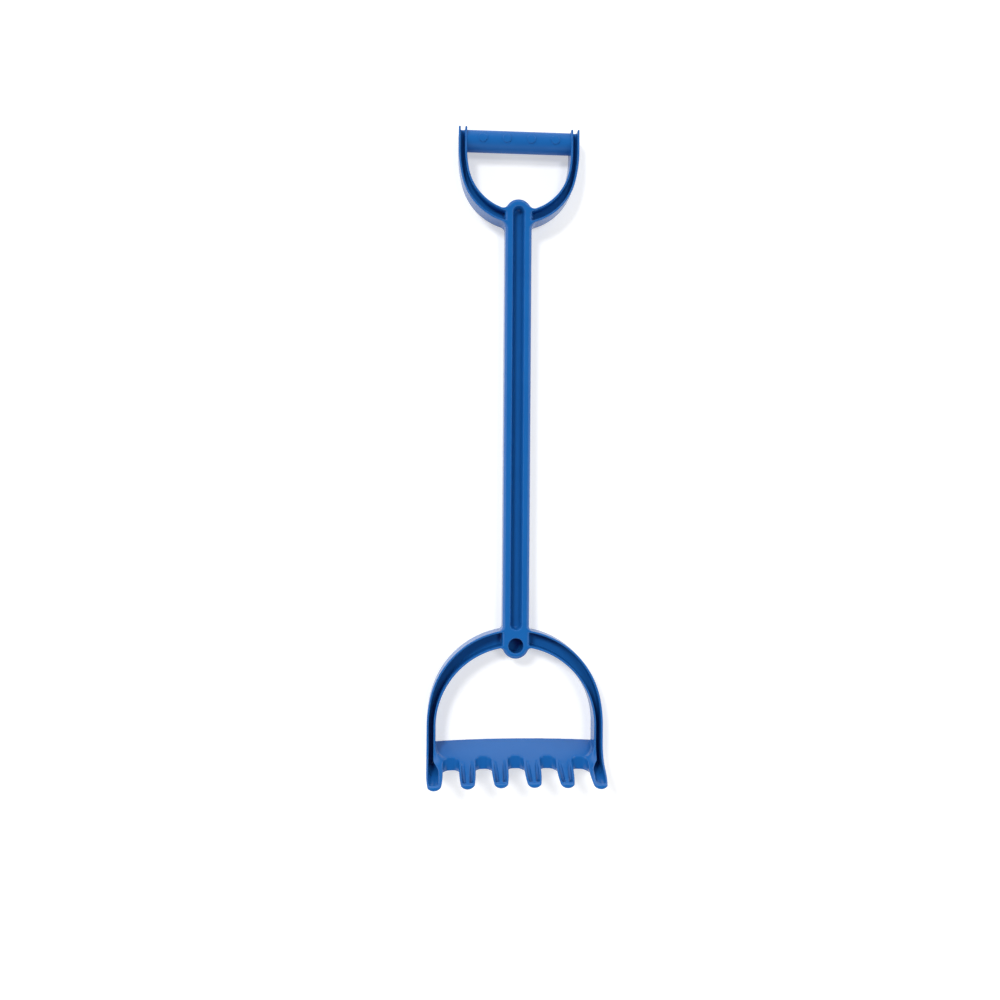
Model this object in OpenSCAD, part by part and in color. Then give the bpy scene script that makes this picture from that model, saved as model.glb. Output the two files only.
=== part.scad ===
// Sand rake moulded in one colour: a D handle, a grooved shaft and an arched head with six tines.
// It lies on its back: X runs across, Y from the tine tips to the handle, Z from the back to the front.
// Heights along Y are counted from the tine tips and moved to the middle of the rake at the end.

/* [Overall] */
// Length from the tine tips to the top of the handle
rake_len = 610; // [560:1:680]
// Width across the two legs and the end tines
rake_w = 165; // [150:1:190]
// Depth of the frame from its back face to its front face
frame_t = 22; // [21:0.5:27]
// Height of the tine tips above the back face
reach = 56; // [46:1:70]

/* [Frame section] */
// Thickness of the flanges along both edges of the bows
flange_t = 2.3; // [1.8:0.1:3]
// Thickness of the web that joins the flanges at mid depth
web_t = 3.2; // [2:0.1:6]
// Radius of the fillets where the bows run into the shaft
bow_fillet_r = 3.5; // [1.5:0.1:5]

/* [Shaft] */
// Width of the shaft
shaft_w = 25; // [21:0.2:30]
// Radius of the shaft's long edges
shaft_edge_r = 4; // [1:0.1:5]
// Width of the groove at the face of the shaft
groove_w = 11; // [7:0.1:13]
// Width of the groove at its floor
groove_floor_w = 7.6; // [4:0.1:7]
// Thickness of the web between the front and the back groove
shaft_web_t = 4; // [2:0.1:8]
// Distance that the domed ends of the shaft stand into each bow's opening
dome_rise = 11.5; // [8:0.1:14]
// Diameter of the blind hole in the lower dome
hole_d = 14; // [8:0.1:16]
// Thickness of the floor of the blind hole
hole_floor_t = 3; // [2:0.1:10]
// Distance between the rims of the hole and the groove
hole_gap = 7.5; // [4:0.1:20]

/* [Handle] */
// Outer width of the fork at the grip
fork_w = 114; // [100:0.2:128]
// Width of each side of the fork at the grip
fork_side_w = 8; // [6.5:0.1:11]
// Width of the fork where it meets the shaft
fork_base_w = 12.4; // [9:0.1:16]
// Amount by which each side of the fork spreads beyond its round base
fork_flare = 2; // [1:0.1:6]
// Height of the fork's sides between the grip and the centre of its round base
fork_lift = 15.4; // [12:0.1:30]
// Diameter of the grip bar
grip_d = 20; // [16:0.2:21]
// Number of thumb discs on the grip
disc_count = 4; // [2:1:5]
// Diameter of a thumb disc
disc_d = 8.4; // [5:0.1:10]
// Distance between thumb discs
disc_pitch = 22.8; // [16:0.1:24]
// Height of a thumb disc above the bar
disc_rise = 0.6; // [0.2:0.1:0.8]

/* [Head] */
// Width of each leg
leg_w = 8.4; // [6.5:0.1:11]
// Width of the arch at its crown
crown_w = 16.2; // [11:0.1:18]
// Amount by which each leg spreads beyond the round crown
arch_flare = 0.8; // [0.5:0.1:5]
// Height of the arch's sides between the legs and the centre of the round crown
arch_lift = 8.2; // [5:0.1:24]
// Height above the tine tips at which the legs start to curve
spring_y = 49.5; // [45:0.5:70]

/* [Tines] */
// Number of tines
tine_count = 6; // [4:1:7]
// Width of a tine
tine_w = 15.4; // [12:0.1:18]
// Height of the wall's back edge above the tine tips, at the middle of the rake
wall_y = 33.5; // [30:0.5:38]
// Thickness of the tine bar at its back face
bar_t = 18; // [14:0.5:22]
// Thickness of a tine at its tip
tip_t = 3.8; // [3:0.1:6]
// Size of the bevel along the edges of each tip
tip_bevel = 1.4; // [0.5:0.1:1.8]
// Amount by which the middle of the tine bar bows towards the handle
bar_bow = 2; // [1:0.1:5]
// Radius of the corners of each tine's tip
tip_corner_r = 4.5; // [1:0.1:5]
// Radius of the edges along the back of each tine
tine_edge_r = 3.4; // [1:0.1:3.5]
// Radius of the corners at the bottom of each gap
gap_corner_r = 4; // [1:0.1:5]
// Radius of the fillets between the legs and the wall
leg_fillet_r = 6.5; // [3:0.1:8]
// Width of the two flutes in each middle tine
flute_w = 2.6; // [1.5:0.1:3]
// Width of the rib between the two flutes
rib_w = 4.1; // [3:0.1:5]
// Distance from the frame's front face to the pointed start of a flute
flute_start = 10; // [5:0.5:18]
// Depth of a flute at its lower end
flute_depth = 3; // [1.5:0.1:3.4]
// Thickness of the inner wall of each end tine
end_wall_t = 3; // [2:0.1:4]

/* [Hidden] */
$fn = 96;

overrun = 1;
arc_overlap = 0.01;
moulded_blue = "#1F62B4";

// Heights along Y
grip_y = rake_len - grip_d / 2;
fork_spring_y = rake_len - grip_d;
web_z = (frame_t - web_t) / 2;
groove_depth = (frame_t - shaft_web_t) / 2;

// Bows: half width, radius of the round base and its distance from the straight sides
inner_flare = 1;
inner_lift = 1.5;
fork_half = fork_w / 2;
fork_r = fork_half - fork_flare;
fork_drop = fork_lift + fork_r;
fork_in_half = fork_half - fork_side_w;
fork_in_drop = fork_drop - fork_base_w;
arch_half = rake_w / 2;
arch_r = arch_half - arch_flare;
arch_drop = arch_lift + arch_r;
arch_in_half = arch_half - leg_w;
arch_in_drop = arch_drop - crown_w;

// Shaft: the domes stand into the openings of both bows
shaft_r = shaft_w / 2;
fork_base_y = fork_spring_y - fork_drop;
crown_y = spring_y + arch_drop;
upper_dome_y = fork_spring_y - fork_in_drop + dome_rise - shaft_r;
lower_dome_y = spring_y + arch_in_drop - dome_rise + shaft_r;
joint_gap = 6;
shaft_top_y = fork_base_y - joint_gap;
shaft_foot_y = crown_y + joint_gap;
groove_foot_y = lower_dome_y + (hole_d + groove_w) / 2 + hole_gap;

// Tine bar: its two faces are lines in the side view
tine_pitch = (rake_w - tine_w) / (tine_count - 1);
end_x = arch_half - tine_w / 2;
bow_r = (end_x * end_x + bar_bow * bar_bow) / (2 * bar_bow);
tip_back_y = bar_bow;
tip_front_y = tip_back_y + tip_t;
front_slope = (wall_y - tip_front_y) / reach;
back_slope = (wall_y - bar_t - tip_back_y) / reach;
front_len = norm([1, front_slope]);
leg_end_y = wall_y + leg_fillet_r;

// Trough of an end tine, and the bend where the leg's channel opens into it
trough_floor_t = 2.6;
tip_rim_t = 2.2;
trough_corner_r = 3;
trough_root_y = wall_y - bar_t + 2 * flange_t;
bend_x = arch_in_half - leg_fillet_r;
bend_y = front_y(frame_t) - sag(arch_in_half) + leg_fillet_r * front_len;

// How far the bowed tine bar lags behind its middle at the distance x from it
function sag(x) = bow_r - sqrt(bow_r * bow_r - x * x);

// Height of the tine bar's front face above the tips, at the depth z
function front_y(z) = wall_y - front_slope * z;

// Radius of a bow's round base that leaves room for its sides
function base_r(half, drop) = min(half - inner_flare, drop - inner_lift);

// Radius of the side arcs that join a bow's straight sides to its round base
function side_r(half, drop, r) = (half * half + pow(drop - r, 2) - r * r) / (2 * (half - r));

// Moves the finished piece from the tine tips to the middle of the rake
module centred() {
    translate([0, -rake_len / 2, 0]) children();
}

// Rectangle from two corners
module span(from, to) {
    translate(from) square(to - from);
}

// Inside of a three-centre bow that hangs down from the X axis, with straight sides above it.
// The round base laps a little over the side arcs, so that the arcs cross instead of touching.
module bow_inside(half, drop, r, grow, sides_h) {
    rs = side_r(half, drop, r);
    lift = drop - r;
    tangent_y = -lift - (r + grow) * lift / (rs - r);
    reach_down = drop + grow + overrun;
    intersection() {
        translate([0, -lift]) circle(r + grow + arc_overlap);
        span([-half - grow, -reach_down], [half + grow, 0]);
    }
    intersection() {
        translate([half - rs, 0]) circle(rs + grow, $fn = 180);
        translate([rs - half, 0]) circle(rs + grow, $fn = 180);
        span([-half - grow, tangent_y], [half + grow, 0]);
    }
    span([-half - grow, 0], [half + grow, sides_h]);
}

// Fillet between the side of the shaft and the round base of a bow, outside the bow
module outer_fillet(r, lift) {
    f = bow_fillet_r;
    centre = [shaft_r + f, -lift - sqrt(pow(r + f, 2) - pow(shaft_r + f, 2))];
    touch = [0, -lift] + (centre - [0, -lift]) * r / (r + f);
    difference() {
        polygon([[0, centre.y], centre, touch, [0, -lift - r + overrun]]);
        translate(centre) circle(f);
    }
}

// Fillet between a dome and the round base of a bow, inside the bow
module inner_fillet(r, lift, dome_y) {
    f = bow_fillet_r;
    base = [0, -lift];
    dome = [0, dome_y];
    near = shaft_r + f - arc_overlap;
    far = r - f + 2 * arc_overlap;
    apart = base.y - dome.y;
    up = (near * near - far * far + apart * apart) / (2 * apart);
    centre = [sqrt(near * near - up * up), dome.y + up];
    root = base + (centre - base) * (r + overrun) / far;
    difference() {
        polygon([dome, centre, root, [root.x / 2, root.y - overrun]]);
        translate(centre) circle(f);
    }
}

// Cross-section of the shaft, seen along it
module shaft_section() {
    flat = shaft_r - shaft_edge_r;
    span([-flat, 0], [flat, frame_t]);
    span([-shaft_r, shaft_edge_r], [shaft_r, frame_t - shaft_edge_r]);
    for (x = [-flat, flat], z = [shaft_edge_r, frame_t - shaft_edge_r]) {
        translate([x, z]) circle(shaft_edge_r, $fn = 48);
    }
}

// Shaft bar between two heights
module shaft_bar(from_y, to_y) {
    translate([0, to_y, 0])
        rotate([90, 0, 0])
            linear_extrude(to_y - from_y) shaft_section();
}

// Round end of the shaft
module shaft_dome(y) {
    translate([0, y, 0])
        rotate_extrude()
            intersection() {
                shaft_section();
                square([shaft_r + overrun, frame_t + overrun]);
            }
}

// Drafted slot cut into the front face between the centres of its two round ends
module front_groove(from_y, to_y) {
    growth = (groove_w - groove_floor_w) / 2 / groove_depth;
    top_r = groove_w / 2 + growth * overrun;
    floor_r = groove_floor_w / 2;
    depth = groove_depth + overrun;
    translate([0, 0, frame_t - groove_depth]) {
        for (y = [from_y, to_y]) {
            translate([0, y, 0]) cylinder(h = depth, r1 = floor_r, r2 = top_r);
        }
        translate([0, to_y, 0])
            rotate([90, 0, 0])
                linear_extrude(to_y - from_y)
                    polygon([[-floor_r, 0], [floor_r, 0], [top_r, depth], [-top_r, depth]]);
    }
}

// Grooves of the shaft in the front and in the back
module grooves() {
    from_y = groove_foot_y;
    to_y = upper_dome_y;
    front_groove(from_y, to_y);
    translate([0, 0, frame_t]) mirror([0, 0, 1]) front_groove(from_y, to_y);
}

// Bow with a flange along both edges and a web at mid depth
module bow(half, drop, r, in_half, in_drop, sides_h, dome_y) {
    in_r = base_r(in_half, in_drop);
    difference() {
        linear_extrude(frame_t)
            difference() {
                bow_inside(half, drop, r, 0, sides_h);
                bow_inside(in_half, in_drop, in_r, 0, sides_h + overrun);
            }
        for (z = [-overrun, web_z + web_t]) {
            translate([0, 0, z])
                linear_extrude(web_z + overrun)
                    difference() {
                        bow_inside(half, drop, r, -flange_t, sides_h + overrun);
                        bow_inside(in_half, in_drop, in_r, flange_t, sides_h + 2 * overrun);
                    }
        }
    }
    translate([0, 0, shaft_edge_r])
        linear_extrude(frame_t - 2 * shaft_edge_r)
            for (side = [0, 1]) {
                mirror([side, 0]) outer_fillet(r, drop - r);
                mirror([side, 0]) inner_fillet(in_r, in_drop - in_r, dome_y);
            }
}

// Round bar between the sides of the fork, with a row of thumb discs on its front
module grip_bar() {
    color(moulded_blue) centred() translate([0, grip_y, frame_t / 2]) {
        rotate([0, 90, 0]) cylinder(h = 2 * fork_in_half, d = grip_d, center = true);
        for (i = [0 : disc_count - 1]) {
            translate([(i - (disc_count - 1) / 2) * disc_pitch, 0, 0])
                intersection() {
                    cylinder(h = grip_d, d = disc_d);
                    rotate([0, 90, 0])
                        cylinder(h = disc_pitch, d = grip_d + 2 * disc_rise, center = true);
                }
        }
    }
}

// Bow of the handle with the upper dome of the shaft
module handle_fork() {
    color(moulded_blue) centred() difference() {
        union() {
            translate([0, fork_spring_y, 0])
                bow(fork_half, fork_drop, fork_r, fork_in_half, fork_in_drop, grip_d,
                    upper_dome_y - fork_spring_y);
            shaft_bar(shaft_top_y, upper_dome_y);
            shaft_dome(upper_dome_y);
        }
        grooves();
    }
}

// Straight shaft between the handle and the head
module shaft() {
    color(moulded_blue) centred() difference() {
        shaft_bar(shaft_foot_y, shaft_top_y);
        grooves();
    }
}

// Arch of the head with its legs and the lower dome of the shaft
module head_arch() {
    color(moulded_blue) centred() difference() {
        union() {
            translate([0, spring_y, 0])
                mirror([0, 1, 0])
                    bow(arch_half, arch_drop, arch_r, arch_in_half, arch_in_drop,
                        spring_y - leg_end_y, spring_y - lower_dome_y);
            shaft_bar(lower_dome_y, shaft_foot_y);
            shaft_dome(lower_dome_y);
        }
        grooves();
        translate([0, lower_dome_y, hole_floor_t]) cylinder(h = frame_t, d = hole_d);
    }
}

// Side view of the tine bar: Y along the first axis and Z along the second, with a bevelled tip
module bar_profile() {
    shoulder_z = reach - tip_bevel;
    back_y = tip_back_y + back_slope * tip_bevel;
    polygon([[wall_y - bar_t, 0], [wall_y, 0], [front_y(shoulder_z), shoulder_z],
        [tip_front_y - tip_bevel / 2, reach], [tip_back_y + tip_bevel / 2, reach], [back_y, shoulder_z]]);
}

// Rectangle with two rounded corners at its far end
module tab(width, foot, end, r) {
    span([-width / 2, foot], [width / 2, end - r]);
    span([r - width / 2, foot], [width / 2 - r, end]);
    for (side = [-1, 1]) {
        translate([side * (width / 2 - r), end - r]) circle(r, $fn = 48);
    }
}

// Front view of the tine bar: X along the first axis and Z along the second
module comb_outline() {
    span([-arch_half, -overrun], [arch_half, frame_t + gap_corner_r]);
    for (i = [0 : tine_count - 1]) {
        translate([i * tine_pitch - end_x, 0])
            tab(tine_w, frame_t, reach + tip_corner_r / 4, tip_corner_r);
    }
}

// Front view of the gaps between the tines
module gap_outline() {
    gap_w = tine_pitch - tine_w;
    top = reach + overrun;
    for (i = [0 : tine_count - 2]) {
        translate([(i + 0.5) * tine_pitch - end_x, top + frame_t])
            mirror([0, 1])
                tab(gap_w, frame_t, top, gap_corner_r);
    }
}

// Bar and tines before the troughs and flutes are cut
module comb_blank() {
    depth = 2 * wall_y;
    intersection() {
        translate([0, -bow_r, 0])
            rotate_extrude($fn = 720)
                translate([bow_r, 0]) bar_profile();
        translate([0, depth, 0])
            rotate([90, 0, 0])
                linear_extrude(2 * depth)
                    difference() {
                        comb_outline();
                        gap_outline();
                    }
    }
}

// Foot of the right leg, from the arch down into the tine bar
module leg_foot() {
    foot_y = front_y(frame_t) - 2 * bar_bow;
    difference() {
        translate([arch_in_half, foot_y, 0]) cube([leg_w, leg_end_y - foot_y, frame_t]);
        translate([arch_in_half + flange_t, wall_y, -overrun])
            cube([leg_w - 2 * flange_t, leg_end_y, web_z + overrun]);
    }
}

// Fillet between the right leg and the sloping wall of the tine bar
module leg_fillet() {
    lean = atan(front_slope);
    side = leg_fillet_r;
    intersection() {
        translate([arch_in_half, wall_y - sag(arch_in_half), 0])
            rotate([lean, 0, 0])
                difference() {
                    translate([-side, -side, -frame_t]) cube([side + flange_t, 2 * side, 3 * frame_t]);
                    translate([-side, side, -2 * frame_t]) cylinder(h = 5 * frame_t, r = side);
                }
        cube([arch_half, leg_end_y, frame_t]);
    }
}

// Channel of the right leg and the trough that it opens into along the end tine
module trough_cut() {
    outer_x = arch_half - flange_t;
    inner_x = arch_in_half + flange_t;
    tine_x = arch_half - tine_w + end_wall_t;
    floor_z = web_z + web_t;
    trough_w = outer_x - tine_x;
    floor_y = trough_floor_t / 2;
    intersection() {
        linear_extrude(reach + overrun) {
            span([inner_x, bend_y], [outer_x, leg_end_y + overrun]);
            difference() {
                span([tine_x, -overrun], [outer_x, bend_y]);
                translate([bend_x, bend_y]) circle(leg_fillet_r + flange_t);
            }
        }
        translate([tine_x - overrun, 0, 0])
            rotate([90, 0, 90])
                linear_extrude(trough_w + 2 * overrun)
                    polygon([[leg_end_y + overrun, floor_z], [trough_root_y, floor_z],
                        [floor_y, reach], [leg_end_y + overrun, reach]]);
        translate([(outer_x + tine_x) / 2, leg_end_y + 2 * overrun, 0])
            rotate([90, 0, 0])
                linear_extrude(leg_end_y + 4 * overrun)
                    tab(trough_w, web_z, reach - tip_rim_t, trough_corner_r);
    }
}

// Flute that starts as a point on the front of a middle tine and deepens towards its tip
module flute() {
    foot_z = frame_t + flute_start;
    end_z = reach - tip_rim_t;
    length = (end_z - foot_z) * front_len;
    lean = atan(front_slope) + atan(flute_depth / length);
    lead = 2 * overrun;
    r = flute_w / 2;
    translate([0, front_y(foot_z), foot_z])
        rotate([lean, 0, 0]) {
            translate([0, r, -lead]) cylinder(h = length + lead, r = r, $fn = 32);
            translate([-r, r, -lead]) cube([flute_w, 2 * flute_depth, length + lead]);
        }
}

// Cut that rounds the right edge along the back of a tine, down to a height above the back face
module tine_edge(x, low_z) {
    r = tine_edge_r;
    translate([x, tip_back_y - sag(x), reach])
        rotate([atan(back_slope), 0, 0])
            difference() {
                translate([-r, -overrun, low_z - reach]) cube([r + overrun, r + overrun, 2 * reach]);
                translate([-r, r, -2 * reach]) cylinder(h = 4 * reach, r = r, $fn = 48);
            }
}

// Tine bar with its six tines and the feet of both legs
module rake_bar() {
    color(moulded_blue) centred() difference() {
        union() {
            comb_blank();
            for (side = [0, 1]) {
                mirror([side, 0, 0]) leg_foot();
                mirror([side, 0, 0]) leg_fillet();
            }
        }
        for (side = [0, 1]) {
            mirror([side, 0, 0]) {
                trough_cut();
                tine_edge(arch_half, -frame_t);
                for (i = [0 : tine_count - 2]) {
                    tine_edge(i * tine_pitch - end_x + tine_w / 2, frame_t + gap_corner_r);
                }
            }
        }
        for (i = [1 : tine_count - 2], side = [-1, 1]) {
            x = i * tine_pitch - end_x + side * (rib_w + flute_w) / 2;
            translate([x, -sag(x), 0]) flute();
        }
    }
}

grip_bar();
handle_fork();
shaft();
head_arch();
rake_bar();
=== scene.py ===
"""Sand rake moulded in one blue plastic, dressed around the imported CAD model.

The fork, the arch and the tine bar are worked out as distance fields, so that every rim is
rounded and every inner corner filled as a mould leaves them. Geometry Nodes sweep the shaft and
the grip and set the thumb discs. Sizes are in millimetres, X runs across, heights along Y are
counted from the tine tips, and Z runs from the back to the front, as in the CAD source.
"""

import logging
import math
from dataclasses import dataclass
from enum import Enum
from functools import partial
from itertools import product

import bmesh
import bpy
import numpy as np
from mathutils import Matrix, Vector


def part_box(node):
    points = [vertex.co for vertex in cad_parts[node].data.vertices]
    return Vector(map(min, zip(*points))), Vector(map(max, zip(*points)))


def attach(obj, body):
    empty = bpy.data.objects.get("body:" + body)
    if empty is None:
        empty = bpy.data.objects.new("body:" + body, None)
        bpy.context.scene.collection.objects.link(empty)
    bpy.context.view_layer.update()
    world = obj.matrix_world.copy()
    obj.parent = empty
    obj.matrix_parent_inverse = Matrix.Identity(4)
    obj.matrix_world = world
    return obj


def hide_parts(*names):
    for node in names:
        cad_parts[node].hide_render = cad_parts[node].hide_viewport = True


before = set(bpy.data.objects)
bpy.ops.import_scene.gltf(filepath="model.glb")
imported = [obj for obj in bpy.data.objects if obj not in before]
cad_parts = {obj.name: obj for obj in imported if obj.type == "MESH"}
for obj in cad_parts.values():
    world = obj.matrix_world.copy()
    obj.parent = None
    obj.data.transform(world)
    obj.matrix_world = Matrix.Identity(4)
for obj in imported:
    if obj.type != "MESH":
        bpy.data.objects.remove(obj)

import openvdb
from bpy.types import ID, Material, Mesh, Node, NodeSocket, Object
from mathutils import Euler, Vector

Array = np.ndarray
Pair = tuple[float, float]
Triple = tuple[float, float, float]
MM = 0.001
HALF_LEN = 305.0  # Height of the rake's middle, where the frame has its origin
BODY = "root"
MARGIN = 1.5  # By which a lattice reaches past its piece
LAP = 2.0  # By which it reaches past a joint
FAR = 9.0  # Distance that lies outside every hollow
WELD = 1e-7  # Metres within which a cut takes points as one
PAD_TOP = 0.9  # Height above which a point is on top of a pad that reaches from -1 to 1
log = logging.getLogger("sand_rake")


class Keep(Enum):
    """Side of a joint plane that a piece keeps."""

    ABOVE = 1
    BELOW = -1


# -------- distance fields


def either(a: Array, b: Array, r: float | Array) -> Array:
    """Joins two solids, given as distances below zero inside them, over a fillet of radius r."""
    return np.maximum(r, np.minimum(a, b)) - np.hypot(np.maximum(r - a, 0), np.maximum(r - b, 0))


def both(a: Array, b: Array, r: float | Array) -> Array:
    """Keeps what two solids share and rounds the edge between them with radius r."""
    return np.minimum(-r, np.maximum(a, b)) + np.hypot(np.maximum(r + a, 0), np.maximum(r + b, 0))


def ease(value: Array, low: float, high: float) -> Array:
    """Rises smoothly from 0 where the value is low to 1 where it is high."""
    t = np.clip((value - low) / (high - low), 0, 1)
    return t * t * (3 - 2 * t)


def blend(ends: Pair, share: Array) -> Array:
    """Goes from the first value to the second as the share goes from 0 to 1."""
    return ends[0] + (ends[1] - ends[0]) * share


def layer(z: Array, depth: float) -> Array:
    """Distance to the layer from the back face up to a depth, below zero inside it."""
    return np.abs(z - depth / 2) - depth / 2


@dataclass(frozen=True)
class Lattice:
    """Even lattice of points over a box, on which a field is sampled and skinned.

    Args:
        low: Lowest corner of the box.
        high: Highest corner of the box.
        step: Distance between neighbouring points.
    """

    low: Triple
    high: Triple
    step: float = 0.45

    @property
    def first(self) -> Array:
        """Number of the first point along each axis, counted from the origin."""
        return np.floor(np.array(self.low) / self.step).astype(int)

    def axes(self) -> list[Array]:
        """Finds the places of the points.

        Returns:
            Places along X, Y and Z, shaped to span the lattice together.
        """
        last = np.ceil(np.array(self.high) / self.step).astype(int)
        ranges = [np.arange(a, b + 1, dtype=np.float32) for a, b in zip(self.first, last)]
        across, along, up = (numbers * self.step for numbers in ranges)
        return [across[:, None, None], along[None, :, None], up[None, None, :]]

    def skin(self, values: Array) -> tuple[Array, Array]:
        """Finds the surface where the field is zero.

        Args:
            values: The field on the lattice.

        Returns:
            Corners, and the corner numbers of the triangles, facing outwards.
        """
        reach = 3 * self.step
        grid = openvdb.FloatGrid(reach)
        near = np.clip(values, -reach, reach).astype(np.float32)
        grid.copyFromArray(near, ijk=tuple(int(i) for i in self.first))
        grid.transform = openvdb.createLinearTransform(self.step)
        points, triangles, quads = grid.convertToPolygons(isovalue=0, adaptivity=0)
        return points, np.concatenate([quads[:, [0, 1, 2]], quads[:, [0, 2, 3]], triangles])

    def slope(self, values: Array, points: Array) -> Array:
        """Reads the direction in which the field rises.

        Args:
            values: The field on the lattice.
            points: Where to read it, one row each.

        Returns:
            Unit vectors, one row each.
        """
        # Every point is read from the eight around it, none of them on the lattice's border
        last = np.array(values.shape) - 1
        place = np.clip(points / self.step - self.first, 1, last - 1.001)
        base = np.floor(place).astype(int)
        part = place - base
        axes = np.eye(3, dtype=int)
        rise = np.zeros((len(points), 3))
        for corner in np.ndindex(2, 2, 2):
            share = np.prod(np.where(corner, part, 1 - part), axis=1)
            for number, way in product(range(3), (1, -1)):
                i, j, k = np.clip(base + corner + way * axes[number], 0, last).T
                rise[:, number] += way * share * values[i, j, k]
        return rise / np.maximum(np.linalg.norm(rise, axis=1, keepdims=True), 1e-9)


@dataclass(frozen=True)
class Edges:
    """Radii and draft that a mould gives to the whole rake.

    Args:
        rim: Radius of the outer edges.
        floor: Radius along the floors of the channels and grooves.
        draft: Slope of the channel walls.
    """

    rim: float = 0.9
    floor: float = 1.1
    draft: float = 0.03


@dataclass(frozen=True)
class Bow:
    """Three-centre bow that hangs down from straight sides: two side arcs and a round base.

    Args:
        half: Half its width at the straight sides.
        drop: Distance from the ends of the sides down to the lowest point.
        base_r: Radius of the round base.
    """

    half: float
    drop: float
    base_r: float

    def inside(self, x: Array, y: Array) -> Array:
        """Distance to the bow's outline, below zero within it.

        Args:
            x: Places across.
            y: Heights above the lower ends of the straight sides.

        Returns:
            The distances.
        """
        lift = self.drop - self.base_r
        side_r = (self.half**2 + lift**2 - self.base_r**2) / (2 * (self.half - self.base_r))
        inset = side_r - self.half
        ax = np.abs(x)
        side = np.hypot(ax + inset, y) - side_r
        base = np.hypot(ax, y + lift) - self.base_r
        arcs = np.where(inset * y + lift * (ax + inset) < 0, base, side)
        return np.where(y > 0, ax - self.half, arcs)


@dataclass(frozen=True)
class Band:
    """Curved band with a flange along both edges and a web between them.

    Args:
        outer: Outline of its outer edge.
        inner: Outline of its opening.
        depth: Depth from the back face to the front face.
        flange_t: Thickness of the flanges.
        web_back: Height of the web's back face above the back.
        web_front: Height of the web's front face above the back.
        hub_gap: Distance between the shaft's sides and the ends of the channels.
        edges: Radii and draft of the moulding.
    """

    outer: Bow
    inner: Bow
    depth: float = 22.0
    flange_t: float = 1.9
    web_back: float = 5.0
    web_front: float = 8.0
    hub_gap: float = 0.5
    edges: Edges = Edges()

    def joined(self, shaft: Array, x: Array, y: Array, z: Array, shoulder_r: float) -> Array:
        """Joins the band to a shaft and cuts its channels up to the shaft's sides.

        Args:
            shaft: Distance to the shaft.
            x: Places across.
            y: Heights above the lower ends of the bows' sides.
            z: Heights above the back face.
            shoulder_r: Radius between the shaft and the band's edges.

        Returns:
            Distance to both together.
        """
        flat = np.maximum(self.outer.inside(x, y), -self.inner.inside(x, y))
        slab = layer(z, self.depth)
        whole = np.maximum(either(shaft, both(flat, slab, self.edges.rim), shoulder_r), slab)
        walls = flat + self.flange_t - self.edges.draft * slab
        outside_web = np.minimum(self.web_front - z, z - self.web_back)
        channels = both(walls, outside_web, self.edges.floor)
        channels = both(channels, self.hub_gap - shaft, self.edges.floor)
        return both(whole, -channels, self.edges.rim)


@dataclass(frozen=True)
class Bar:
    """Shaft with rounded edges, two domed ends and a drafted groove in each face.

    Args:
        width: Width of the shaft.
        depth: Depth from the back face to the front face.
        edge_r: Radius of its long edges.
        top_y: Height of the centre of the upper dome.
        foot_y: Height of the centre of the lower dome.
        groove_top_y: Height of the centre of the groove's upper end.
        groove_foot_y: Height of the centre of the groove's lower end.
        groove_w: Width of the groove at the face.
        groove_floor_w: Width of the groove at its floor.
        web_t: Thickness of the web between the grooves.
        edges: Radii of the moulding.
    """

    width: float = 25.0
    depth: float = 22.0
    edge_r: float = 4.0
    top_y: float = 531.0
    foot_y: float = 124.2
    groove_top_y: float = 531.0
    groove_foot_y: float = 144.2
    groove_w: float = 11.0
    groove_floor_w: float = 7.6
    web_t: float = 4.0
    edges: Edges = Edges()

    def solid(self, x: Array, y: Array, z: Array) -> Array:
        """Distance to the shaft before its grooves are cut."""
        off_line = np.hypot(x, y - np.clip(y, self.foot_y, self.top_y))
        return both(off_line - self.width / 2, layer(z, self.depth), self.edge_r)

    def grooves(self, x: Array, y: Array, z: Array) -> Array:
        """Distance to the space of the two grooves.

        Args:
            x: Places across.
            y: Heights above the tine tips.
            z: Heights above the back face.

        Returns:
            The distances.
        """
        off_line = np.hypot(x, y - np.clip(y, self.groove_foot_y, self.groove_top_y))
        above_floor = np.abs(z - self.depth / 2) - self.web_t / 2
        spread = (self.groove_w - self.groove_floor_w) / (self.depth - self.web_t)
        walls = off_line - self.groove_floor_w / 2 - spread * above_floor
        return both(walls, -above_floor, self.edges.floor)

    def outline(self, arc_steps: int = 8) -> list[Pair]:
        """Cross-section of the shaft as a closed line, for the straight part between the bows.

        Args:
            arc_steps: Steps of each rounded corner.

        Returns:
            Points of the line: across, and above the back face.
        """
        half, floor = self.groove_w / 2, self.groove_floor_w / 2
        low, high = (self.depth - self.web_t) / 2, (self.depth + self.web_t) / 2
        side, rim, deep = self.width / 2, self.edges.rim, self.edges.floor
        right = [(floor, high, deep), (half, self.depth, rim), (side, self.depth, self.edge_r)]
        right += [(side, 0.0, self.edge_r), (half, 0.0, rim), (floor, low, deep)]
        corners = right + [(-x, z, r) for x, z, r in reversed(right)]
        line = []
        for number, (x, z, r) in enumerate(corners):
            here = Vector((x, z))
            before = (Vector(corners[number - 1][:2]) - here).normalized()
            after = (Vector(corners[(number + 1) % len(corners)][:2]) - here).normalized()
            half_turn = before.angle(after) / 2
            centre = here + (before + after).normalized() * (r / math.sin(half_turn))
            start = here + before * (r / math.tan(half_turn)) - centre
            end = here + after * (r / math.tan(half_turn)) - centre
            for step in range(arc_steps + 1):
                spoke = start.slerp(end, step / arc_steps)
                line.append(tuple(centre + spoke.normalized() * r))
        return line


# -------- sub-assemblies as fields


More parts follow.
